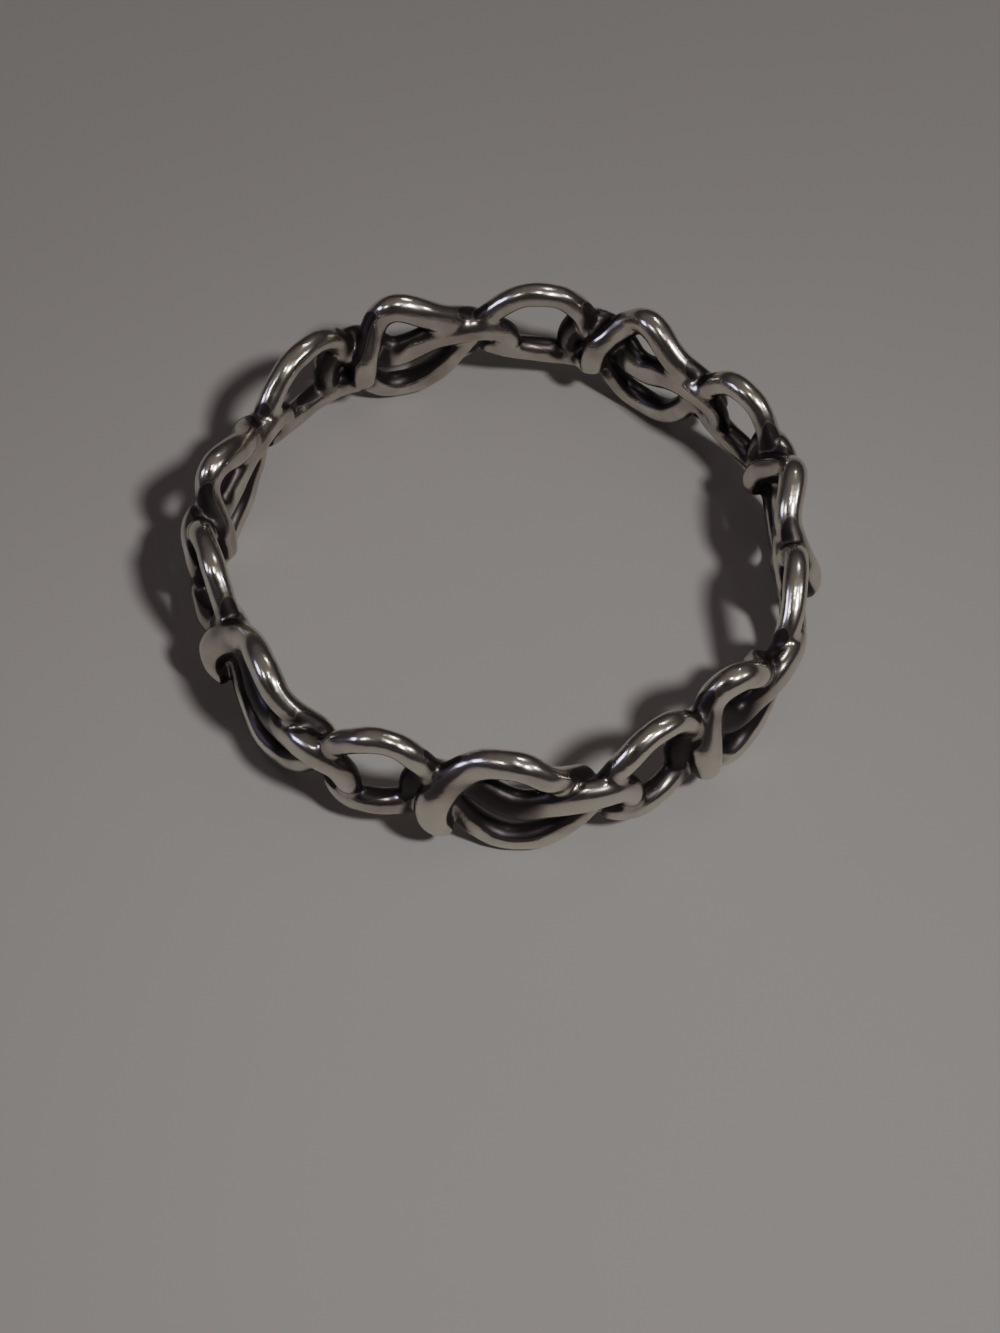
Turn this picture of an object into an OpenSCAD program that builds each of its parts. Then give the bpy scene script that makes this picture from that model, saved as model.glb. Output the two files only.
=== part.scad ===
// Cast silver knot ring: a wavy strand, arches, eye arcs and tongues, interlaced and grown together.
// The ring lies on its side. Its axis is Z, and the lowest arcs of the knot touch the plane z = 0.

/* [Ring] */
// Diameter of the circle half way through the wall, on which the strands run
mean_d = 19.1; // [17:0.1:22]
// How many times the knot repeats round the ring
repeats = 7; // [6:1:8]
// Height of the band along the finger
band_h = 4.9; // [4.3:0.1:5.5]

/* [Spacing by hand] */
// Direction of the first big loop, in degrees from +X
first_loop = 269.3; // [0:0.1:360]
// How far the repeats drift from even spacing, in degrees
drift = 6; // [0:0.5:8]
// Direction that the repeats drift away from, in degrees from +X
drift_from = 192; // [0:1:360]

/* [Strands] */
// Thickness of all the strands against the tables below
swell = 1; // [0.9:0.01:1.1]

/* [Facets] */
// Sides of a strand's section
sides = 10; // [8:1:11]
// Sections from one row of the closed strand's table to the next
steps = 2; // [1:1:3]

/* [Hidden] */

// Band height that the tables are written for
table_h = 4.9;
grow = band_h / table_h;
half_turn = 180 / repeats;

// How each loop was bent by hand, from the first loop on, in half repeats: how far its middle leans
// round the ring, and how much narrower it is than the tables
BY_HAND = [
  // lean, narrowing
  [-0.04,  0.00],
  [-0.16,  0.25],
  [ 0.00,  0.00],
  [ 0.08,  0.05],
  [ 0.18,  0.25],
  [ 0.20,  0.30],
  [ 0.00,  0.00],
];

// Closed strand: the bottom arc of each big loop and the top arc of each small eye. Along is counted
// in half repeats from the middle of a big loop; the rows are those of one whole repeat.
WAVE = [
  // along, outward, height, half_width, half_thickness
  [-0.83, -0.15, 4.31, 0.41, 0.41],
  [-0.68, -0.22, 3.60, 0.41, 0.41],
  [-0.51, -0.28, 2.25, 0.42, 0.42],
  [-0.35, -0.24, 1.08, 0.44, 0.44],
  [-0.17, -0.12, 0.56, 0.44, 0.44],
  [ 0.00,  0.00, 0.44, 0.44, 0.44],
  [ 0.19,  0.05, 0.64, 0.44, 0.44],
  [ 0.35,  0.10, 1.24, 0.43, 0.43],
  [ 0.51,  0.14, 2.30, 0.42, 0.42],
  [ 0.66,  0.20, 3.55, 0.41, 0.41],
  [ 0.82,  0.10, 4.25, 0.41, 0.41],
  [ 0.95, -0.04, 4.48, 0.41, 0.41],
  [ 1.07, -0.10, 4.49, 0.41, 0.41],
];

// Arch over each big loop, from the foot of its left leg to the foot of its right one
ARCH = [
  // along, outward, height, half_width, half_thickness
  [-0.47,  0.18, 1.35, 0.36, 0.34],
  [-0.54,  0.34, 1.40, 0.46, 0.40],
  [-0.59,  0.42, 1.80, 0.53, 0.43],
  [-0.60,  0.38, 2.32, 0.57, 0.45],
  [-0.57,  0.16, 2.82, 0.58, 0.46],
  [-0.49, -0.14, 3.30, 0.57, 0.46],
  [-0.37, -0.34, 3.70, 0.56, 0.46],
  [-0.23, -0.30, 4.12, 0.54, 0.46],
  [-0.09, -0.12, 4.38, 0.52, 0.47],
  [ 0.05,  0.04, 4.38, 0.50, 0.46],
  [ 0.18,  0.16, 3.98, 0.46, 0.44],
  [ 0.29,  0.04, 3.56, 0.45, 0.43],
  [ 0.38, -0.18, 3.18, 0.45, 0.42],
  [ 0.46, -0.38, 2.80, 0.46, 0.42],
  [ 0.50, -0.46, 2.20, 0.46, 0.42],
  [ 0.51, -0.46, 1.70, 0.44, 0.40],
];

// Low arc of each eye, from leg to leg. Along is counted from the middle of the eye.
EYE = [
  // along, outward, height, half_width, half_thickness
  [-0.50, -0.40, 1.75, 0.40, 0.38],
  [-0.41, -0.14, 1.66, 0.43, 0.42],
  [-0.33,  0.12, 1.48, 0.44, 0.43],
  [-0.21,  0.26, 1.36, 0.45, 0.43],
  [-0.08,  0.20, 1.38, 0.45, 0.43],
  [ 0.04,  0.10, 1.48, 0.45, 0.43],
  [ 0.16, -0.03, 1.70, 0.45, 0.43],
  [ 0.27, -0.14, 2.00, 0.44, 0.42],
  [ 0.37, -0.16, 2.30, 0.42, 0.40],
];

// Thick tongue through a loop, from behind its left leg to in front of its right one
TONGUE = [
  // along, outward, height, half_width, half_thickness
  [-0.79, -0.16, 1.90, 0.34, 0.34],
  [-0.80, -0.24, 2.40, 0.40, 0.38],
  [-0.75, -0.34, 2.92, 0.45, 0.40],
  [-0.65, -0.42, 3.12, 0.48, 0.42],
  [-0.52, -0.44, 3.10, 0.50, 0.42],
  [-0.40, -0.40, 3.00, 0.52, 0.42],
  [-0.27, -0.32, 2.80, 0.55, 0.43],
  [-0.16, -0.20, 2.48, 0.60, 0.44],
  [ 0.00, -0.06, 2.22, 0.62, 0.44],
  [ 0.16,  0.04, 2.35, 0.62, 0.45],
  [ 0.27,  0.22, 2.68, 0.60, 0.46],
  [ 0.43,  0.40, 2.96, 0.60, 0.47],
  [ 0.60,  0.44, 3.02, 0.57, 0.46],
  [ 0.71,  0.38, 2.86, 0.54, 0.44],
  [ 0.77,  0.30, 2.35, 0.48, 0.42],
  [ 0.79,  0.22, 1.75, 0.38, 0.36],
];

// The rows of a table moved on by a number of repeats
function moved(rows, k) = [for (r = rows) [r[0] + 2 * k, r[1], r[2], r[3], r[4]]];

// Smooth curve through four rows, from the second (t = 0) to the third (t = 1)
function smooth(a, b, c, d, t) =
  (2 * b + (c - a) * t + (2 * a - 5 * b + 4 * c - d) * t * t
    + (3 * b - a - 3 * c + d) * t * t * t) / 2;

// Stations of the closed strand. The rows before and after those of one repeat are its own, one
// repeat back or on.
function round_trip(rows) =
  let (n = len(rows), all = [for (k = [-1 : repeats]) each moved(rows, k)])
  [for (i = [n : n * (repeats + 1) - 1], j = [0 : steps - 1])
    smooth(all[i - 1], all[i], all[i + 1], all[i + 2], j / steps)];

// A place along the knot as its loop was bent, with the middle of every eye left where it is
function bent(along) =
  let (k = round(along / 2), loop = BY_HAND[(k + repeats) % repeats % len(BY_HAND)],
       turn = 180 * (along - 2 * k))
  along + loop[0] * (1 + cos(turn)) / 2 - loop[1] * sin(turn) / PI;

// Direction of a station round the ring, with the uneven spacing
function bearing(along) =
  let (even = first_loop + bent(along) * half_turn)
  even + drift * sin(even - drift_from);

function centre(station) =
  let (a = bearing(station[0]), r = mean_d / 2 + grow * station[1])
  [r * cos(a), r * sin(a), grow * station[2]];

function unit(v) = v / norm(v);

// Ring of points round a station, square to the way that its neighbours run
function section(station, before, after) =
  let (a = bearing(station[0]),
       way = unit(centre(after) - centre(before)),
       wall = [cos(a), sin(a), 0],
       outward = unit(wall - (wall * way) * way),
       across = cross(way, outward),
       size = swell * grow)
  [for (j = [0 : sides - 1])
    let (turn = 360 * j / sides)
    centre(station) + size * (station[3] * cos(turn) * across + station[4] * sin(turn) * outward)];

// Triangles between ring i and ring k of a tube
function skin(i, k) =
  [for (j = [0 : sides - 1])
    let (a = i * sides + j, b = i * sides + (j + 1) % sides,
         c = k * sides + j, d = k * sides + (j + 1) % sides)
    each [[a, b, c], [b, d, c]]];

// Strand that closes on itself after one trip round the ring
module closed_strand(stations) {
  n = len(stations);
  points = [for (i = [0 : n - 1])
    each section(stations[i], stations[(i + n - 1) % n], stations[(i + 1) % n])];
  faces = [for (i = [0 : n - 1]) each skin(i, (i + 1) % n)];
  polyhedron(points = points, faces = faces, convexity = 10);
}

// Short strand with two ends, which lie inside other strands or are seen as its tips
module open_strand(stations) {
  n = len(stations);
  points = [for (i = [0 : n - 1])
    each section(stations[i], stations[max(i - 1, 0)], stations[min(i + 1, n - 1)])];
  first_cap = [[for (j = [sides - 1 : -1 : 0]) j]];
  last_cap = [[for (j = [0 : sides - 1]) (n - 1) * sides + j]];
  faces = concat([for (i = [0 : n - 2]) each skin(i, i + 1)], first_cap, last_cap);
  polyhedron(points = points, faces = faces, convexity = 4);
}

module knot_band() {
  color("silver")
  union() {
    closed_strand(round_trip(WAVE));
    for (k = [0 : repeats - 1]) {
      open_strand(moved(ARCH, k));
      open_strand(moved(EYE, k + 0.5));
      open_strand(moved(TONGUE, k));
    }
  }
}

knot_band();
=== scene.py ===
"""A cast silver knot ring, polished on its high places and blackened in its recesses.

The ring lies on its side on a pale surface, its axis along Z. Each strand is modelled at the bench
in millimetres, the strands are grown together as a casting, and the band is then brought to metres
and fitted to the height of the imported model.
"""

from __future__ import annotations

import logging
import math
from dataclasses import dataclass, field
from enum import Enum
from typing import Sequence

import bpy
import numpy as np
from mathutils import Matrix, Vector
from mathutils.bvhtree import BVHTree
from mathutils.kdtree import KDTree


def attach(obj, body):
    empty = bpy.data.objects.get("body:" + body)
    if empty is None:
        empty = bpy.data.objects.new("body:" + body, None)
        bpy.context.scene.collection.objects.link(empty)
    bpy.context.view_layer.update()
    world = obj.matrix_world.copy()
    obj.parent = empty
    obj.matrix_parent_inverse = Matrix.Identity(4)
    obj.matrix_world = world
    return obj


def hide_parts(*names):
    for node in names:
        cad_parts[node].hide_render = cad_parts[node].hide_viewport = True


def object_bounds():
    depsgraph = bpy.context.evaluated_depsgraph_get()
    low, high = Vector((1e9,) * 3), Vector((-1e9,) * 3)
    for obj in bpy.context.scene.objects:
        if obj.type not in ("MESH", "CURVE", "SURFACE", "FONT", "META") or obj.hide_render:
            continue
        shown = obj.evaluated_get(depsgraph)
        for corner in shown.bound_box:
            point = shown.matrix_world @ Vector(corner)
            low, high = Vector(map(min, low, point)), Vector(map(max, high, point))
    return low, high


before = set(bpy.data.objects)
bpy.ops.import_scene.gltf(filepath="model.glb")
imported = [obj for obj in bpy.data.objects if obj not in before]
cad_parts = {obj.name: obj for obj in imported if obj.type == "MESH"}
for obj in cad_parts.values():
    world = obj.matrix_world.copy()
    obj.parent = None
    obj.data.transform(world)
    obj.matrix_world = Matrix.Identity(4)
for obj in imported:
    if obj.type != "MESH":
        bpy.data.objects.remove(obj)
CAD_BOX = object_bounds()

LOG = logging.getLogger("knot_ring")
MM = 0.001
LEAST_TURN = 1e-7  # radians, under which a section isn't turned

Colour = tuple[float, float, float]
Place = tuple[float, float, float]
Row = tuple[float, float, float, float, float]
Noise = tuple[float, float, float]

# Columns of each strand's table, in millimetres but for the first. Along is counted in half repeats
# from the middle of a big loop, or for the eye arc from the middle of an eye.
ALONG, OUTWARD, HEIGHT, HALF_WIDTH, HALF_THICKNESS = range(5)

WAVE_ROWS: tuple[Row, ...] = (
    (-0.83, -0.15, 4.31, 0.41, 0.41),
    (-0.68, -0.22, 3.60, 0.41, 0.41),
    (-0.51, -0.28, 2.25, 0.42, 0.42),
    (-0.35, -0.24, 1.08, 0.44, 0.44),
    (-0.17, -0.12, 0.56, 0.44, 0.44),
    (0.00, 0.00, 0.44, 0.44, 0.44),
    (0.19, 0.05, 0.64, 0.44, 0.44),
    (0.35, 0.10, 1.24, 0.43, 0.43),
    (0.51, 0.14, 2.30, 0.42, 0.42),
    (0.66, 0.20, 3.55, 0.41, 0.41),
    (0.82, 0.10, 4.25, 0.41, 0.41),
    (0.95, -0.04, 4.48, 0.41, 0.41),
    (1.07, -0.10, 4.49, 0.41, 0.41),
)
ARCH_ROWS: tuple[Row, ...] = (
    (-0.47, 0.18, 1.35, 0.36, 0.34),
    (-0.54, 0.34, 1.40, 0.46, 0.40),
    (-0.59, 0.42, 1.80, 0.53, 0.43),
    (-0.60, 0.38, 2.32, 0.57, 0.45),
    (-0.57, 0.16, 2.82, 0.58, 0.46),
    (-0.49, -0.14, 3.30, 0.57, 0.46),
    (-0.37, -0.34, 3.70, 0.56, 0.46),
    (-0.23, -0.30, 4.12, 0.54, 0.46),
    (-0.09, -0.12, 4.38, 0.52, 0.47),
    (0.05, 0.04, 4.38, 0.50, 0.46),
    (0.18, 0.16, 3.98, 0.46, 0.44),
    (0.29, 0.04, 3.56, 0.45, 0.43),
    (0.38, -0.18, 3.18, 0.45, 0.42),
    (0.46, -0.38, 2.80, 0.46, 0.42),
    (0.50, -0.46, 2.20, 0.46, 0.42),
    (0.51, -0.46, 1.70, 0.44, 0.40),
)
EYE_ROWS: tuple[Row, ...] = (
    (-0.50, -0.40, 1.75, 0.40, 0.38),
    (-0.41, -0.14, 1.66, 0.43, 0.42),
    (-0.33, 0.12, 1.48, 0.44, 0.43),
    (-0.21, 0.26, 1.36, 0.45, 0.43),
    (-0.08, 0.20, 1.38, 0.45, 0.43),
    (0.04, 0.10, 1.48, 0.45, 0.43),
    (0.16, -0.03, 1.70, 0.45, 0.43),
    (0.27, -0.14, 2.00, 0.44, 0.42),
    (0.37, -0.16, 2.30, 0.42, 0.40),
)
TONGUE_ROWS: tuple[Row, ...] = (
    (-0.79, -0.16, 1.90, 0.34, 0.34),
    (-0.80, -0.24, 2.40, 0.40, 0.38),
    (-0.75, -0.34, 2.92, 0.45, 0.40),
    (-0.65, -0.42, 3.12, 0.48, 0.42),
    (-0.52, -0.44, 3.10, 0.50, 0.42),
    (-0.40, -0.40, 3.00, 0.52, 0.42),
    (-0.27, -0.32, 2.80, 0.55, 0.43),
    (-0.16, -0.20, 2.48, 0.60, 0.44),
    (0.00, -0.06, 2.22, 0.62, 0.44),
    (0.16, 0.04, 2.35, 0.62, 0.45),
    (0.27, 0.22, 2.68, 0.60, 0.46),
    (0.43, 0.40, 2.96, 0.60, 0.47),
    (0.60, 0.44, 3.02, 0.57, 0.46),
    (0.71, 0.38, 2.86, 0.54, 0.44),
    (0.77, 0.30, 2.35, 0.48, 0.42),
    (0.79, 0.22, 1.75, 0.38, 0.36),
)

# How each loop was bent by hand, from the first loop on: lean of its middle and narrowing
BENT_BY_HAND: tuple[tuple[float, float], ...] = (
    (-0.04, 0.00),
    (-0.16, 0.25),
    (0.00, 0.00),
    (0.08, 0.05),
    (0.18, 0.25),
    (0.20, 0.30),
    (0.00, 0.00),
)


def clamp(value: float) -> float:
    """The value, held between 0 and 1."""
    return min(1.0, max(0.0, value))


class StrandKind(Enum):
    """How a strand ends: it meets itself after one trip round the ring, or has two rounded tips."""

    CLOSED = "closed"
    TIPPED = "tipped"


def deselect_all() -> None:
    """Leave edit mode and clear the selection, so that an operator meets only what is meant."""
    if bpy.context.object and bpy.context.object.mode != "OBJECT":
        bpy.ops.object.mode_set(mode="OBJECT")
    bpy.ops.object.select_all(action="DESELECT")


def pick(*pieces: bpy.types.Object) -> None:
    """Select the given pieces alone, the first of them active."""
    deselect_all()
    for piece in pieces:
        piece.select_set(True)
    bpy.context.view_layer.objects.active = pieces[0]


def apply_modifier(piece: bpy.types.Object, kind: str, **settings: object) -> None:
    """Add a modifier to a piece and apply it at once.

    Args:
        piece: the object that is changed.
        kind: the modifier's type.
        settings: its properties by name.
    """
    pick(piece)
    bpy.ops.object.modifier_add(type=kind)
    modifier = piece.modifiers[-1]
    for name, value in settings.items():
        setattr(modifier, name, value)
    bpy.ops.object.modifier_apply(modifier=modifier.name)


@dataclass(frozen=True)
class Course:
    """The circle that the strands run on, and the uneven spacing of the repeats round it.

    In millimetres and degrees: drift is how far the loops stray from even spacing, and drift_from
    the bearing that they stray from.
    """

    mean_radius: float = 9.55
    repeats: int = 7
    first_loop: float = 269.3
    drift: float = 6.0
    drift_from: float = 192.0

    def bent(self, along: float) -> float:
        """A place along the knot as its loop was bent, with the middle of every eye left as it is."""
        repeat = round(along / 2.0)
        lean, narrowing = BENT_BY_HAND[repeat % len(BENT_BY_HAND)]
        turn = math.pi * (along - 2.0 * repeat)
        return along + lean * (1.0 + math.cos(turn)) / 2.0 - narrowing * math.sin(turn) / math.pi

    def bearing(self, along: float) -> float:
        """Direction round the ring, in radians, of a place given in half repeats."""
        even = self.first_loop + self.bent(along) * 180.0 / self.repeats
        return math.radians(even + self.drift * math.sin(math.radians(even - self.drift_from)))

    def centre(self, station: Vector) -> Vector:
        """Middle of the strand at a station, in millimetres."""
        turn = self.bearing(station[ALONG])
        radius = self.mean_radius + station[OUTWARD]
        return Vector((radius * math.cos(turn), radius * math.sin(turn), station[HEIGHT]))

    def pose(self, before: Vector, station: Vector, after: Vector) -> Matrix:
        """Place and turn of a section, square to the way that its neighbours run.

        Args:
            before: the station that comes before.
            station: the station itself.
            after: the station that comes after.

        Returns:
            A 4 by 4 matrix whose columns are across, outward, onward and the centre.
        """
        turn = self.bearing(station[ALONG])
        onward = (self.centre(after) - self.centre(before)).normalized()
        wall = Vector((math.cos(turn), math.sin(turn), 0.0))
        outward = (wall - wall.dot(onward) * onward).normalized()
        across = outward.cross(onward)
        turned = Matrix((across, outward, onward)).transposed().to_4x4()
        return Matrix.Translation(self.centre(station)) @ turned


def smooth_row(a: Vector, b: Vector, c: Vector, d: Vector, t: float) -> Vector:
    """Smooth curve through four rows, from the second (t = 0) to the third (t = 1)."""
    return (
        2 * b + (c - a) * t + (2 * a - 5 * b + 4 * c - d) * t**2 + (3 * b - a - 3 * c + d) * t**3
    ) / 2


@dataclass(frozen=True)
class Strand:
    """One strand of the knot: its table of rows, how it ends, and how finely it is swept.

    Start is where its table's zero lies, in half repeats from the middle of a loop. Shelter is how
    readily it keeps its black where it lies behind the band's walls. Steps are the sections from one
    row to the next, and sides the corners of a section.
    """

    name: str
    kind: StrandKind
    rows: tuple[Row, ...]
    start: float = 0.0
    shelter: float = 0.28
    steps: int = 3
    sides: int = 12

    @property
    def section_gain(self) -> float:
        """What a section's corners are pushed out by, so that its subdivided round has full size."""
        return 3.0 / (2.0 + math.cos(2.0 * math.pi / self.sides))

    def stations(self, course: Course, repeat: int = 0) -> list[Vector]:
        """Every section's row along the strand.

        Args:
            course: the circle and its repeats.
            repeat: which repeat a tipped strand stands in.

        Returns:
            The rows from end to end, with a closed strand's last one short of its first.
        """
        base = [Vector(row) + Vector((self.start, 0.0, 0.0, 0.0, 0.0)) for row in self.rows]
        if self.kind is StrandKind.TIPPED:
            rows = [row + self.shift(repeat) for row in base]
            rows = [rows[0], *rows, rows[-1]]
        else:
            rows = [row + self.shift(k) for k in range(-1, course.repeats + 1) for row in base]
            rows = rows[len(base) - 1 : len(base) * (course.repeats + 1) + 2]
        out = [
            smooth_row(*rows[i - 1 : i + 3], j / self.steps)
            for i in range(1, len(rows) - 2)
            for j in range(self.steps)
        ]
        return out + [rows[-1]] if self.kind is StrandKind.TIPPED else out

    def copies(self, course: Course) -> int:
        """How many such strands the ring has."""
        return course.repeats if self.kind is StrandKind.TIPPED else 1

    @staticmethod
    def shift(repeats: int) -> Vector:
        """Row that moves a station on by whole repeats."""
        return Vector((2.0 * repeats, 0.0, 0.0, 0.0, 0.0))

    def sweep(self, course: Course, repeat: int = 0) -> bpy.types.Object:
        """Carry a round section along the strand, by extruding it from station to station.

        Args:
            course: the circle and its repeats.
            repeat: which repeat a tipped strand stands in.

        Returns:
            The strand as an object in millimetres.
        """
        rows = self.stations(course, repeat)
        last = len(rows) - 1
        closed = self.kind is StrandKind.CLOSED
        once_round = self.shift(course.repeats)
        deselect_all()
        bpy.ops.mesh.primitive_circle_add(vertices=self.sides, radius=1.0, location=(0, 0, 0))
        piece = bpy.context.object
        piece.name = f"{self.name}_{repeat}"
        bpy.ops.object.mode_set(mode="EDIT")
        bpy.ops.mesh.select_all(action="SELECT")
        held = Matrix.Identity(4)
        width, thickness = 1.0, 1.0
        for i, row in enumerate(rows):
            before, after = rows[max(i - 1, 0)], rows[min(i + 1, last)]
            if closed and i == 0:
                before = rows[last] - once_round
            if closed and i == last:
                after = rows[0] + once_round
            pose = course.pose(before, row, after)
            new_width = row[HALF_WIDTH] * self.section_gain
            new_thickness = row[HALF_THICKNESS] * self.section_gain
            if i:
                bpy.ops.mesh.extrude_region()
            self.carry(held, pose, new_width / width, new_thickness / thickness)
            held, width, thickness = pose, new_width, new_thickness
        bpy.ops.mesh.select_all(action="DESELECT")
        bpy.ops.mesh.select_non_manifold()
        if closed:
            bpy.ops.mesh.bridge_edge_loops()
        else:
            bpy.ops.mesh.fill_holes(sides=0)
        bpy.ops.mesh.select_all(action="SELECT")
        bpy.ops.mesh.normals_make_consistent(inside=False)
        bpy.ops.object.mode_set(mode="OBJECT")
        return piece

    @staticmethod
    def carry(held: Matrix, pose: Matrix, wider: float, thicker: float) -> None:
        """Move, turn and resize the selected section from one pose to another.

        Args:
            held: the pose that the section has.
            pose: the pose that it gets.
            wider: growth of its width.
            thicker: growth of its thickness.
        """
        centre = pose.to_translation()
        bpy.ops.transform.translate(value=centre - held.to_translation())
        axis, angle = (pose.to_3x3() @ held.to_3x3().transposed()).to_quaternion().to_axis_angle()
        if abs(angle) > LEAST_TURN:
            about = axis.to_track_quat("Z", "Y").to_matrix()
            bpy.ops.transform.rotate(
                value=-angle, orient_axis="Z", orient_matrix=about, center_override=centre
            )
        bpy.ops.transform.resize(
            value=(wider, thicker, 1.0), orient_matrix=pose.to_3x3(), center_override=centre
        )


class Wire:
    """A shader socket that takes part in Python arithmetic, adding Math nodes as it goes."""

    def __init__(self, bench: NodeBench, socket: bpy.types.NodeSocket) -> None:
        """Wrap a socket of a bench's tree."""
        self.bench = bench
        self.socket = socket

    def math(self, operation: str, *values: Wire | float) -> Wire:
        """Result of a Math node on this socket and further values."""
        inputs = {i: value for i, value in enumerate((self, *values))}
        return self.bench.add("ShaderNodeMath", {"operation": operation}, inputs)

    def __add__(self, other: Wire | float) -> Wire:
        """Sum."""
        return self.math("ADD", other)

    def __radd__(self, other: float) -> Wire:
        """Sum with a number on the left."""
        return self.math("ADD", other)

    def __sub__(self, other: Wire | float) -> Wire:
        """Difference."""
        return self.math("SUBTRACT", other)

    def __rsub__(self, other: float) -> Wire:
        """A number less this."""
        return self.math("MULTIPLY", -1.0) + other

    def __mul__(self, other: Wire | float) -> Wire:
        """Product."""
        return self.math("MULTIPLY", other)

    def __rmul__(self, other: float) -> Wire:
        """Product with a number on the left."""
        return self.math("MULTIPLY", other)

    def ramp(self, low: float, high: float) -> Wire:
        """Smooth step from 0 at low to 1 at high."""
        settings = {"interpolation_type": "SMOOTHSTEP"}
        return self.bench.add("ShaderNodeMapRange", settings, {0: self, 1: low, 2: high})


class NodeBench:
    """A material's or world's node tree, with one method that makes any node."""

    def __init__(self, tree: bpy.types.NodeTree) -> None:
        """Start from an empty tree."""
        self.tree = tree
        tree.nodes.clear()

    def node(
        self, kind: str, settings: dict[str, object] | None = None, inputs: dict | None = None
    ) -> bpy.types.Node:
        """Make a node.

        Args:
            kind: the node's type.
            settings: its properties by name, set before its sockets.
            inputs: values or wires by socket name or number.

        Returns:
            The node.
        """
        made = self.tree.nodes.new(kind)
        for name, value in (settings or {}).items():
            setattr(made, name, value)
        for key, value in (inputs or {}).items():
            if isinstance(value, Wire):
                self.tree.links.new(value.socket, made.inputs[key])
            else:
                made.inputs[key].default_value = value
        return made

    def add(
        self,
        kind: str,
        settings: dict[str, object] | None = None,
        inputs: dict | None = None,
        output: str | int = 0,
    ) -> Wire:
        """Make a node and hand on one of its outputs.

        Args:
            kind: the node's type.
            settings: its properties by name.
            inputs: values or wires by socket name or number.
            output: name or number of the output.

        Returns:
            The output as a wire.
        """
        return Wire(self, self.node(kind, settings, inputs).outputs[output])

    def noise(self, scale: float, detail: float, roughness: float) -> Wire:
        """Noise on object coordinates.

        Args:
            scale: cells in a metre.
            detail: octaves.
            roughness: strength of the finer octaves.

        Returns:
            The noise as a number from 0 to 1.
        """
        place = self.add("ShaderNodeTexCoord", output="Object")
        inputs = {"Vector": place, "Scale": scale, "Detail": detail, "Roughness": roughness}
        return self.add("ShaderNodeTexNoise", {}, inputs)

    def mix_colour(self, share: Wire, low: Wire | Colour, high: Wire | Colour) -> Wire:
        """Mix of two colours by a share from 0 to 1."""
        sides = {
            key: side if isinstance(side, Wire) else (*side, 1.0) for key, side in ((6, low), (7, high))
        }
        return self.add("ShaderNodeMix", {"data_type": "RGBA"}, {0: share, **sides}, 2)


@dataclass(frozen=True)
class BlackenedSilver:
    """Cast silver: bright and almost mirror-like on what a wheel reaches, near black deep down.

    Each noise is given by its cells in a metre, its octaves and the strength of the finer ones.
    """

    slot: str = "silver"
    recess_name: str = "recess"
    bright: Colour = (0.75, 0.714, 0.632)
    smoky: Colour = (0.34, 0.292, 0.262)
    black: Colour = (0.044, 0.034, 0.036)
    bright_roughness: float = 0.18
    black_roughness: float = 0.38
    recess_start: float = 0.13
    recess_full: float = 0.29
    smoke_start: float = -0.05
    smoke_full: float = 0.60
    smoke_gain: float = 3.0
    smoke_share: float = 0.75
    metal_lost: float = 0.30
    blotching: float = 0.12
    clouding: float = 1.3
    hazing: float = 0.06
    scuffing: float = 0.05
    swelling: float = 0.7
    bright_grain: float = 0.05
    black_grain: float = 0.3
    bump_height: float = 0.00006
    bump_strength: float = 0.25
    blotches: Noise = (900.0, 4.0, 0.6)
    clouds: Noise = (650.0, 3.0, 0.55)
    haze: Noise = (350.0, 3.0, 0.5)
    scuffs: Noise = (5200.0, 2.0, 0.7)
    swells: Noise = (420.0, 2.0, 0.5)
    grains: Noise = (3800.0, 3.0, 0.6)

    def make(self) -> bpy.types.Material:
        """The node material."""
        material = bpy.data.materials.new("blackened_silver")
        material.use_nodes = True
        bench = NodeBench(material.node_tree)
        recess = bench.add("ShaderNodeAttribute", {"attribute_name": self.recess_name}, output="Fac")
        blotch = bench.noise(*self.blotches) - 0.5
        dark = (recess + blotch * self.blotching).ramp(self.recess_start, self.recess_full)
        cloud = bench.noise(*self.clouds) - 0.5
        smoke = recess * self.smoke_gain + cloud * self.clouding
        toned = smoke.ramp(self.smoke_start, self.smoke_full)
        colour = bench.mix_colour(toned * self.smoke_share, self.bright, self.smoky)
        colour = bench.mix_colour(dark, colour, self.black)
        inputs = {
            "Base Color": colour,
            "Metallic": 1.0 - dark * self.metal_lost,
            "Roughness": self.roughness(bench, dark),
            "Normal": self.relief(bench, dark),
        }
        shader = bench.add("ShaderNodeBsdfPrincipled", {}, inputs)
        bench.node("ShaderNodeOutputMaterial", {}, {"Surface": shader})
        return material

    def roughness(self, bench: NodeBench, dark: Wire) -> Wire:
        """Hazy and faintly scuffed where bright, rougher where dark."""
        haze = bench.noise(*self.haze) - 0.4
        scuff = bench.noise(*self.scuffs) - 0.5
        polish = self.bright_roughness + haze * self.hazing + scuff * self.scuffing
        return polish + dark * (self.black_roughness - self.bright_roughness)

    def relief(self, bench: NodeBench, dark: Wire) -> Wire:
        """Bump of slow swells and fine grain, with more of the grain where dark."""
        swell = bench.noise(*self.swells)
        grain = bench.noise(*self.grains)
        height = swell * self.swelling + grain * (self.bright_grain + dark * self.black_grain)
        inputs = {"Strength": self.bump_strength, "Distance": self.bump_height, "Height": height}
        return bench.add("ShaderNodeBump", {}, inputs)


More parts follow.
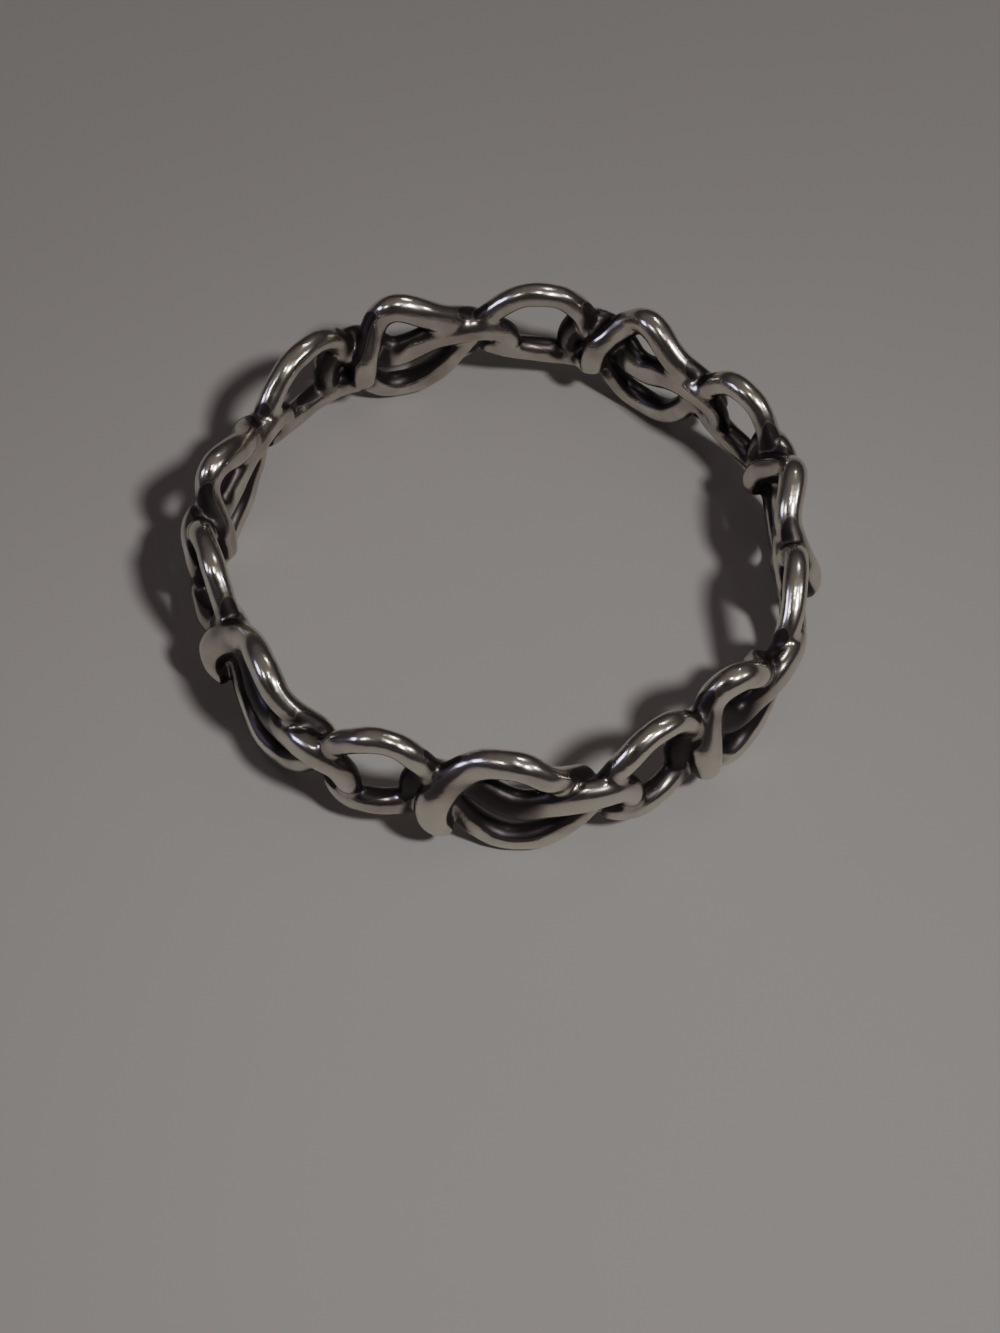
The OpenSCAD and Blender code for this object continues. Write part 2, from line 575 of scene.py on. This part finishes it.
@dataclass(frozen=True)
class MattFloor:
    """Plain pale matt surface, with painted light round the ring and painted shade further off; its
    places are in metres.
    """

    colour: Colour = (0.526, 0.506, 0.500)
    painted_light_middle: Place = (0.002, -0.016, 0.0)
    painted_shade_start: float = 0.004
    painted_shade_full: float = 0.050
    painted_shade_strength: float = 0.29
    mottling: float = 0.12
    mottles: Noise = (60.0, 3.0, 0.5)
    roughness: float = 0.55
    gloss: float = 0.15

    def make(self) -> bpy.types.Material:
        """The node material."""
        material = bpy.data.materials.new("pale_floor")
        material.use_nodes = True
        bench = NodeBench(material.node_tree)
        # Painted light and shade: the colour is paler near the ring and darker further off, standing for
        # the lamp's uneven light, with random mottling mixed in
        place = bench.add("ShaderNodeTexCoord", output="Object")
        ends = {0: place, 1: self.painted_light_middle}
        away = bench.add("ShaderNodeVectorMath", {"operation": "DISTANCE"}, ends, "Value")
        mottle = bench.noise(*self.mottles) - 0.5
        share = away.ramp(self.painted_shade_start, self.painted_shade_full) + mottle * self.mottling
        painted_shade_colour = tuple(c * (1.0 - self.painted_shade_strength) for c in self.colour)
        colour = bench.mix_colour(share, self.colour, painted_shade_colour)
        inputs = {
            "Base Color": colour,
            "Roughness": self.roughness,
            "Specular IOR Level": self.gloss,
        }
        shader = bench.add("ShaderNodeBsdfPrincipled", {}, inputs)
        bench.node("ShaderNodeOutputMaterial", {}, {"Surface": shader})
        return material


@dataclass(frozen=True)
class Polish:
    """How a felt ball and a flat wheel reach the band, in millimetres.

    The ball gets into hollows that are wide enough for it. The wheel runs along the band's outer
    wall, and another along its inner one, between the band's two edges.
    """

    ball: float = 1.25
    wheel_outside: float = 10.35
    wheel_inside: float = 9.10
    band_middle: float = 2.46
    wheel_half_height: float = 1.6
    wheel_edge: float = 0.6
    facing_gain: float = 2.0
    facing_start: float = 0.35
    # Share of darkening given to faces turned towards the ring's axis, by how squarely they face it
    inward_darkening: float = 0.09

    def ball_held_off(self, tree: BVHTree, place: Vector, normal: Vector) -> float:
        """How far the ball stays off, as a share of its radius, set against a place from outside."""
        middle = place + normal * self.ball
        return 1.0 - clamp(tree.find_nearest(middle)[3] / self.ball)

    def wheel_missed(self, place: Vector, outward: float) -> float:
        """How far a place lies behind the wall that the wheel runs along.

        Args:
            place: the place on the metal.
            outward: how much it faces away from the ring's axis, from -1 to 1.

        Returns:
            The depth in millimetres, less towards the band's edges.
        """
        radius = place.xy.length
        behind = clamp(self.facing_start + self.facing_gain * outward) * (self.wheel_outside - radius)
        behind += clamp(-self.facing_gain * outward) * (radius - self.wheel_inside)
        inside_edge = self.wheel_half_height - abs(place.z - self.band_middle)
        return behind * clamp(inside_edge / self.wheel_edge)


@dataclass
class KnotBand:
    """The whole ring: a wavy strand, arches, eye arcs and tongues, grown into one body.

    Rounding is each strand's levels of subdivision. The voxel in which the strands fuse, the depth
    of their unevenness and the size of its dents are in millimetres.
    """

    course: Course = field(default_factory=Course)
    finish: BlackenedSilver = field(default_factory=BlackenedSilver)
    polish: Polish = field(default_factory=Polish)
    strands: tuple[Strand, ...] = (
        Strand("wave", StrandKind.CLOSED, WAVE_ROWS),
        Strand("arch", StrandKind.TIPPED, ARCH_ROWS),
        Strand("eye_arc", StrandKind.TIPPED, EYE_ROWS, start=1.0),
        Strand("tongue", StrandKind.TIPPED, TONGUE_ROWS, shelter=0.60),
    )
    rounding: int = 2
    voxel: float = 0.091
    smoothing: int = 8
    unevenness: float = 0.06
    dent_size: float = 0.9

    def build(self) -> bpy.types.Object:
        """Model, grow together, fit and dress the band.

        Returns:
            The finished piece, in metres.
        """
        parts = [
            strand.sweep(self.course, k)
            for strand in self.strands
            for k in range(strand.copies(self.course))
        ]
        for part in parts:
            apply_modifier(part, "SUBSURF", levels=self.rounding, render_levels=self.rounding)
        band = self.grow_together(parts)
        self.mark_recesses(band)
        self.fit(band)
        band.data.materials.append(self.finish.make())
        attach(band, "root")
        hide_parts("knot_band")
        return band

    def grow_together(self, parts: Sequence[bpy.types.Object]) -> bpy.types.Object:
        """Fuse the strands into one skin with soft fillets where they meet."""
        pick(*parts)
        bpy.ops.object.join()
        band = bpy.context.object
        band.name = band.data.name = "knot_casting"
        apply_modifier(band, "REMESH", mode="VOXEL", voxel_size=self.voxel, adaptivity=0.0)
        apply_modifier(band, "SMOOTH", factor=0.5, iterations=self.smoothing)
        dents = bpy.data.textures.new("cast_dents", "CLOUDS")
        dents.noise_scale = self.dent_size
        dents.noise_depth = 0
        apply_modifier(band, "DISPLACE", texture=dents, strength=self.unevenness, mid_level=0.5)
        pick(band)
        bpy.ops.object.shade_smooth()
        return band

    def mark_recesses(self, band: bpy.types.Object) -> None:
        """Write how well each vertex is kept from the polish, as a point attribute.

        What the wheel misses counts for as much as the shelter of the strand that is nearest.
        """
        mesh = band.data
        tree = BVHTree.FromObject(band, bpy.context.evaluated_depsgraph_get())
        nearest, shelters = self.strand_finder()
        recess = np.zeros(len(mesh.vertices))
        for i, vertex in enumerate(mesh.vertices):
            outward = vertex.normal.xy.dot(vertex.co.xy) / vertex.co.xy.length
            shelter = shelters[nearest.find(vertex.co)[1]]
            # Faces turned towards the ring's axis get a little recess as well, which darkens them
            # whatever the polish reaches
            recess[i] = max(
                self.polish.ball_held_off(tree, vertex.co, vertex.normal),
                self.polish.wheel_missed(vertex.co, outward) * shelter,
                self.polish.inward_darkening * -outward,
            )
        marks = mesh.attributes.new(self.finish.recess_name, "FLOAT", "POINT")
        marks.data.foreach_set("value", recess)

    def strand_finder(self) -> tuple[KDTree, list[float]]:
        """A search tree of all the strands' stations, and the shelter of each."""
        stations = [
            (self.course.centre(row), strand.shelter)
            for strand in self.strands
            for k in range(strand.copies(self.course))
            for row in strand.stations(self.course, k)
        ]
        nearest = KDTree(len(stations))
        for i, (centre, _) in enumerate(stations):
            nearest.insert(centre, i)
        nearest.balance()
        return nearest, [shelter for _, shelter in stations]

    @staticmethod
    def fit(band: bpy.types.Object) -> None:
        """Bring the band from millimetres to metres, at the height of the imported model."""
        low = min(vertex.co.z for vertex in band.data.vertices)
        high = max(vertex.co.z for vertex in band.data.vertices)
        cad_low, cad_high = CAD_BOX[0][2], CAD_BOX[1][2]
        growth = (cad_high - cad_low) / (high - low)
        pick(band)
        bpy.ops.transform.resize(value=(MM, MM, growth), center_override=(0, 0, 0))
        bpy.ops.transform.translate(value=(0, 0, cad_low - low * growth))
        bpy.ops.object.transform_apply(location=True, rotation=True, scale=True)


class LampKind(Enum):
    """Shape of a lamp's face."""

    RECTANGLE = "RECTANGLE"
    DISK = "DISK"


@dataclass(frozen=True)
class Lamp:
    """A studio lamp: where it stands, its width and height, power in watts and colour.

    A sparkle lamp shows only in what is glossy, and leaves the floor and its shadows alone.
    """

    name: str
    bearing: float
    elevation: float
    distance: float
    width: float
    height: float
    power: float
    colour: Colour = (1.0, 1.0, 1.0)
    kind: LampKind = LampKind.RECTANGLE
    sparkle: bool = False

    def hang(self) -> None:
        """Add the lamp, turned to the ring."""
        turn, lift = math.radians(self.bearing), math.radians(self.elevation)
        away = Vector((math.cos(turn) * math.cos(lift), math.sin(turn) * math.cos(lift), math.sin(lift)))
        deselect_all()
        bpy.ops.object.light_add(type="AREA", location=away * self.distance)
        lamp = bpy.context.object
        lamp.name = self.name
        lamp.rotation_euler = away.to_track_quat("Z", "Y").to_euler()
        lamp.data.shape = self.kind.value
        lamp.data.size, lamp.data.size_y = self.width, self.height
        lamp.data.energy = self.power
        lamp.data.color = self.colour
        lamp.visible_diffuse = not self.sparkle


def bulb(
    name: str, bearing: float, elevation: float, distance: float, width: float, power: float
) -> Lamp:
    """A small round warm lamp that shows only in what is glossy.

    Args:
        name: the lamp's name.
        bearing: direction round the ring, in degrees.
        elevation: angle above the floor, in degrees.
        distance: metres from the ring.
        width: metres across.
        power: watts.

    Returns:
        The lamp, not yet hung.
    """
    warm = (1.0, 0.98, 0.95)
    return Lamp(name, bearing, elevation, distance, width, width, power, warm, LampKind.DISK, True)


@dataclass
class Studio:
    """Floor, lamps, the dim room that the silver mirrors, and the camera."""

    floor_radius: float = 0.6
    floor_sides: int = 96
    floor_finish: MattFloor = field(default_factory=MattFloor)
    # Bearing and elevation in degrees, distance, width and height in metres, then watts
    lamps: tuple[Lamp, ...] = (
        Lamp("key_lamp", -43.0, 55.0, 0.35, 0.042, 0.042, 0.58, (1.0, 0.975, 0.94), LampKind.DISK),
        Lamp("left_window", 187.0, 26.0, 0.40, 0.10, 0.07, 0.20, (0.62, 0.62, 1.0), sparkle=True),
        bulb("near_bulb", -88.0, 74.0, 0.30, 0.016, 0.11),
        bulb("right_bulb", -12.0, 40.0, 0.30, 0.016, 0.11),
        bulb("left_bulb", -150.0, 48.0, 0.30, 0.014, 0.06),
        bulb("back_bulb", 62.0, 58.0, 0.40, 0.020, 0.11),
    )
    horizon: Colour = (0.037, 0.031, 0.036)
    ceiling: Colour = (0.146, 0.127, 0.118)
    onlooker: Colour = (0.012, 0.011, 0.010)
    ceiling_from: float = 0.30
    onlooker_from: float = 0.82
    onlooker_full: float = 0.97
    # Camera fitted to the ring's outline in the photograph, in millimetres and degrees
    lens: float = 115.2
    camera_distance: float = 104.283
    camera_elevation: float = 55.21
    camera_roll: float = 1.811
    look_at: Place = (0.02, -2.902, 0.2)
    sensor: float = 36.0
    nearest_seen: float = 5.0
    farthest_seen: float = 10000.0

    def build(self) -> None:
        """Set up everything but the ring."""
        self.lay_floor()
        for lamp in self.lamps:
            lamp.hang()
        self.paint_room()
        self.place_camera()

    def lay_floor(self) -> None:
        """Round pale floor at the height of the band's lower edge."""
        deselect_all()
        low = CAD_BOX[0][2]
        bpy.ops.mesh.primitive_circle_add(
            vertices=self.floor_sides, radius=self.floor_radius, fill_type="NGON", location=(0, 0, low)
        )
        bpy.ops.object.transform_apply(location=True)
        floor = bpy.context.object
        floor.name = floor.data.name = "floor"
        floor.data.materials.append(self.floor_finish.make())

    def paint_room(self) -> None:
        """World that is dark round the horizon and where the onlooker stands, and warm above."""
        world = bpy.data.worlds.new("room")
        world.use_nodes = True
        bpy.context.scene.world = world
        bench = NodeBench(world.node_tree)
        way = bench.add("ShaderNodeTexCoord", output="Generated")
        lift = math.radians(self.camera_elevation)
        to_onlooker = (0.0, -math.cos(lift), math.sin(lift))
        both = {0: way, 1: to_onlooker}
        facing = bench.add("ShaderNodeVectorMath", {"operation": "DOT_PRODUCT"}, both, "Value")
        facing = facing.ramp(self.onlooker_from, self.onlooker_full)
        height = bench.add("ShaderNodeSeparateXYZ", {}, {0: way}, "Z").ramp(self.ceiling_from, 1.0)
        colour = bench.mix_colour(height, self.horizon, self.ceiling)
        colour = bench.mix_colour(facing, colour, self.onlooker)
        shader = bench.add("ShaderNodeBackground", {}, {"Color": colour, "Strength": 1.0})
        bench.node("ShaderNodeOutputWorld", {}, {"Surface": shader})

    def place_camera(self) -> None:
        """Camera at the photograph's angle."""
        lift, roll = math.radians(self.camera_elevation), math.radians(self.camera_roll)
        back = Vector((0.0, -math.cos(lift), math.sin(lift)))
        right = Vector((1.0, 0.0, 0.0))
        up = back.cross(right)
        rolled_right = math.cos(roll) * right + math.sin(roll) * up
        rolled_up = math.cos(roll) * up - math.sin(roll) * right
        eye = (Vector(self.look_at) + self.camera_distance * back) * MM
        turned = Matrix((rolled_right, rolled_up, back)).transposed().to_4x4()
        deselect_all()
        bpy.ops.object.camera_add()
        camera = bpy.context.object
        camera.name = "camera"
        camera.matrix_world = Matrix.Translation(eye) @ turned
        camera.data.sensor_fit = "HORIZONTAL"
        camera.data.sensor_width = self.sensor
        camera.data.lens = self.lens
        camera.data.clip_start = self.nearest_seen * MM
        camera.data.clip_end = self.farthest_seen * MM
        bpy.context.scene.camera = camera


def report(piece: bpy.types.Object) -> None:
    """Log a finished piece with its number of triangles."""
    piece.data.calc_loop_triangles()
    LOG.info("%s: %d triangles", piece.name, len(piece.data.loop_triangles))


def main() -> None:
    """Build the ring and the studio, and report the ring."""
    logging.basicConfig(level=logging.INFO, format="%(message)s")
    report(KnotBand().build())
    Studio().build()


if __name__ == "__main__":
    main()
